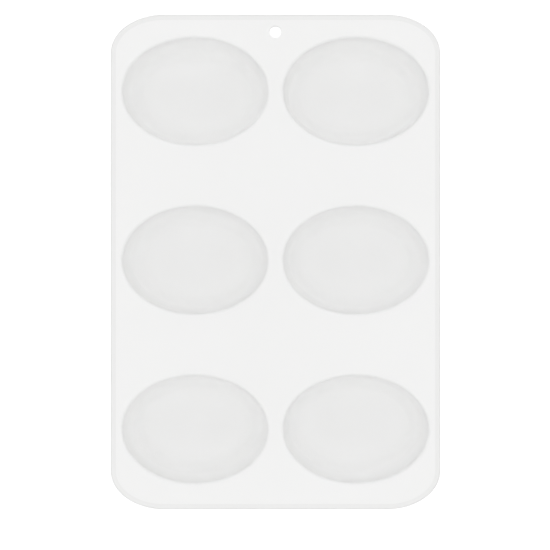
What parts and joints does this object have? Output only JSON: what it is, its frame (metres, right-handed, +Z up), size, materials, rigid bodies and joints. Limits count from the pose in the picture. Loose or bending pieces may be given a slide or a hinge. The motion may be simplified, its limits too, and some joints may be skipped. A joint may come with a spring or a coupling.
{
  "type": "silicone soap mould",
  "caption": "Thin flexible sheet mould with rows of flat-bottomed oval cups whose floors push up to release the bars, a thickened edge and a hanging hole.",
  "frame": {"origin": "centre of the sheet's outline, on the plane that the cups stand on", "axes": "+Z up, out of the cavities' mouths; +Y along the mould, towards the hanging hole; +X across it"},
  "size_m": [0.18, 0.27, 0.0265],
  "materials": {
    "silicone": "satin, milky translucent white"
  },
  "bodies": {
    "middle_row": {"sheet_middle_row": "silicone", "cup_wall_middle_left": "silicone", "cup_wall_middle_right": "silicone", "bend_strip_upper": "silicone", "bend_strip_lower": "silicone"},
    "top_row": {"sheet_top_row": "silicone", "cup_wall_top_left": "silicone", "cup_wall_top_right": "silicone"},
    "bottom_row": {"sheet_bottom_row": "silicone", "cup_wall_bottom_left": "silicone", "cup_wall_bottom_right": "silicone"},
    "floor_top_left": {"cup_floor_top_left": "silicone"},
    "floor_top_right": {"cup_floor_top_right": "silicone"},
    "floor_middle_left": {"cup_floor_middle_left": "silicone"},
    "floor_middle_right": {"cup_floor_middle_right": "silicone"},
    "floor_bottom_left": {"cup_floor_bottom_left": "silicone"},
    "floor_bottom_right": {"cup_floor_bottom_right": "silicone"}
  },
  "joints": [
    {"name": "bend_top_row", "type": "hinge", "parent": "middle_row", "child": "top_row", "pos_m": [0, 0.0471, 0.0257], "axis": [1, 0, 0], "range_deg": [-60, 90], "stiffness_Nm_per_rad": 0.005, "deforming": ["bend_strip_upper"]},
    {"name": "bend_bottom_row", "type": "hinge", "parent": "middle_row", "child": "bottom_row", "pos_m": [0, -0.0451, 0.0257], "axis": [-1, 0, 0], "range_deg": [-60, 90], "stiffness_Nm_per_rad": 0.005, "deforming": ["bend_strip_lower"]},
    {"name": "push_top_left", "type": "slide", "parent": "top_row", "child": "floor_top_left", "axis": [0, 0, 1], "range_m": [0, 0.015], "stiffness_N_per_m": 300, "deforming": ["cup_wall_top_left"]},
    {"name": "push_top_right", "type": "slide", "parent": "top_row", "child": "floor_top_right", "axis": [0, 0, 1], "range_m": [0, 0.015], "stiffness_N_per_m": 300, "deforming": ["cup_wall_top_right"]},
    {"name": "push_middle_left", "type": "slide", "parent": "middle_row", "child": "floor_middle_left", "axis": [0, 0, 1], "range_m": [0, 0.015], "stiffness_N_per_m": 300, "deforming": ["cup_wall_middle_left"]},
    {"name": "push_middle_right", "type": "slide", "parent": "middle_row", "child": "floor_middle_right", "axis": [0, 0, 1], "range_m": [0, 0.015], "stiffness_N_per_m": 300, "deforming": ["cup_wall_middle_right"]},
    {"name": "push_bottom_left", "type": "slide", "parent": "bottom_row", "child": "floor_bottom_left", "axis": [0, 0, 1], "range_m": [0, 0.015], "stiffness_N_per_m": 300, "deforming": ["cup_wall_bottom_left"]},
    {"name": "push_bottom_right", "type": "slide", "parent": "bottom_row", "child": "floor_bottom_right", "axis": [0, 0, 1], "range_m": [0, 0.015], "stiffness_N_per_m": 300, "deforming": ["cup_wall_bottom_right"]}
  ]
}
